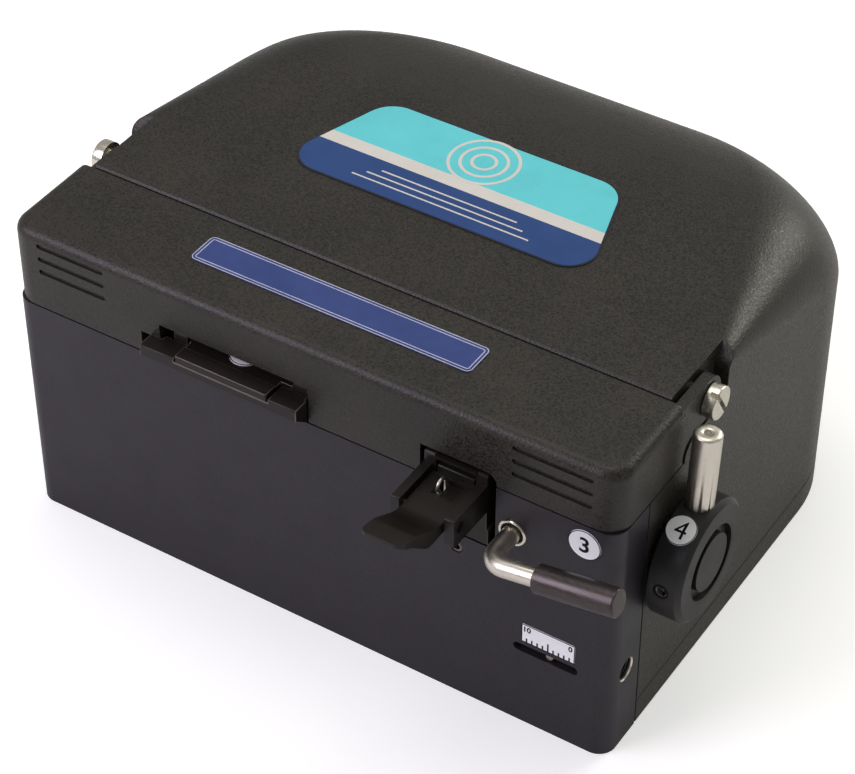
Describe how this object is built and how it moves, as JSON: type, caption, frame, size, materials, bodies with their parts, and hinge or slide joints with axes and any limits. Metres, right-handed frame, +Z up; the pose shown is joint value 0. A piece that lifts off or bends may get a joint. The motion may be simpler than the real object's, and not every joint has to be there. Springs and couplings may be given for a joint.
{
  "type": "fibre cleaver",
  "caption": "Bench-top optical fibre cleaver: flip-up lid, fibre clamps, sliding tension carriage worked by a lever, tension scale and a side knob that raises the blade.",
  "frame": {"origin": "centre of the resting face, on the surface that the cleaver stands on", "axes": "+X to the operator's right, toward the knob; +Y to the back; +Z up"},
  "size_m": [0.1184, 0.1094, 0.0586],
  "materials": {
    "housing_paint": "matte",
    "frame_anodised": "satin",
    "clamp_black": "satin",
    "knob_black": "matte",
    "stainless": "satin",
    "nickel": "polished",
    "sleeve_gunmetal": "satin",
    "bronze": "satin",
    "spring_steel": "polished",
    "label_white": "satin",
    "label_blue": "gloss",
    "rubber": "matte",
    "bare_aluminium": "satin",
    "circuit_green": "satin",
    "ceramic": "matte"
  },
  "bodies": {
    "body": {"front_frame": "frame_anodised", "base_plate": "housing_paint", "rear_housing": "housing_paint", "deck": "bare_aluminium", "service_cover": "housing_paint", "top_label": "label_blue", "hinge_screw_left": "nickel", "hinge_screw_right": "nickel", "left_rest": "clamp_black", "left_clamp_block": "clamp_black", "left_cover_pin": "stainless", "guide_rod_low": "stainless", "guide_rod_high": "stainless", "rod_bracket": "bare_aluminium", "lever_bushing": "frame_anodised", "disc_3": "label_white", "scale_plate": "label_white", "shaft_bearing": "bare_aluminium", "blade_arm_pin": "stainless", "blade_stand": "bare_aluminium", "microswitch": "knob_black", "driver_board": "circuit_green", "battery": "ceramic", "foot_front_left": "rubber", "foot_front_right": "rubber", "foot_back_left": "rubber", "foot_back_right": "rubber"},
    "lid": {"lid": "housing_paint", "lid_strip": "label_blue"},
    "left_cover": {"left_cover": "clamp_black", "left_pad": "rubber", "disc_1": "label_white"},
    "carriage": {"carriage": "clamp_black", "clamp_bracket": "clamp_black", "tongue_pin": "stainless", "tension_spring": "spring_steel"},
    "tongue": {"tongue": "clamp_black", "jaw_pad": "rubber", "spring_hook": "spring_steel"},
    "lever": {"lever_rod": "stainless", "lever_sleeve": "sleeve_gunmetal", "lever_crank": "stainless"},
    "tension_screw": {"adjusting_screw": "nickel"},
    "pointer": {"pointer_nut": "bronze"},
    "knob": {"knob": "knob_black", "knob_pin": "stainless", "knob_set_screw": "nickel", "disc_4": "label_white", "knob_shaft": "stainless", "blade_cam": "stainless"},
    "blade": {"blade_arm": "bare_aluminium", "transducer": "ceramic", "blade_holder": "bare_aluminium", "blade": "ceramic"}
  },
  "joints": [
    {"name": "lid_hinge", "type": "hinge", "parent": "body", "child": "lid", "pos_m": [0, -0.01845, 0.054], "axis": [-1, 0, 0], "range_deg": [0, 100]},
    {"name": "left_cover_hinge", "type": "hinge", "parent": "body", "child": "left_cover", "pos_m": [-0.01165, -0.02955, 0.0466], "axis": [-1, 0, 0], "range_deg": [0, 5]},
    {"name": "carriage_lever", "type": "hinge", "parent": "body", "child": "lever", "pos_m": [0.0375, -0.04475, 0.0393], "axis": [0, 1, 0], "range_deg": [0, 50]},
    {"name": "carriage_slide", "type": "slide", "parent": "body", "child": "carriage", "axis": [1, 0, 0], "range_m": [0, 0.00113]},
    {"name": "tongue_pivot", "type": "hinge", "parent": "carriage", "child": "tongue", "pos_m": [0.02745, -0.05215, 0.044], "axis": [1, 0, 0], "range_deg": [0, 8], "stiffness_Nm_per_rad": 0.02, "springref_deg": -11.46},
    {"name": "tension_screw_turn", "type": "hinge", "parent": "body", "child": "tension_screw", "pos_m": [0.043, -0.03975, 0.0156], "axis": [1, 0, 0], "range_deg": [-2026, 2026]},
    {"name": "pointer_slide", "type": "slide", "parent": "body", "child": "pointer", "axis": [1, 0, 0], "range_m": [-0.0045, 0.0045]},
    {"name": "blade_knob", "type": "hinge", "parent": "body", "child": "knob", "pos_m": [0.0584, -0.02705, 0.0311], "axis": [1, 0, 0], "range_deg": [0, 70]},
    {"name": "blade_lift", "type": "hinge", "parent": "body", "child": "blade", "pos_m": [0.01, 0.00025, 0.0373], "axis": [-1, 0, 0], "range_deg": [0, 1.75]}
  ],
  "couplings": [
    {"joint": "carriage_lever", "follows": "carriage_slide", "rad_per_m": 769.23},
    {"joint": "tension_screw_turn", "follows": "pointer_slide", "rad_per_m": 7854},
    {"joint": "blade_lift", "follows": "blade_knob", "ratio": 0.0243}
  ]
}
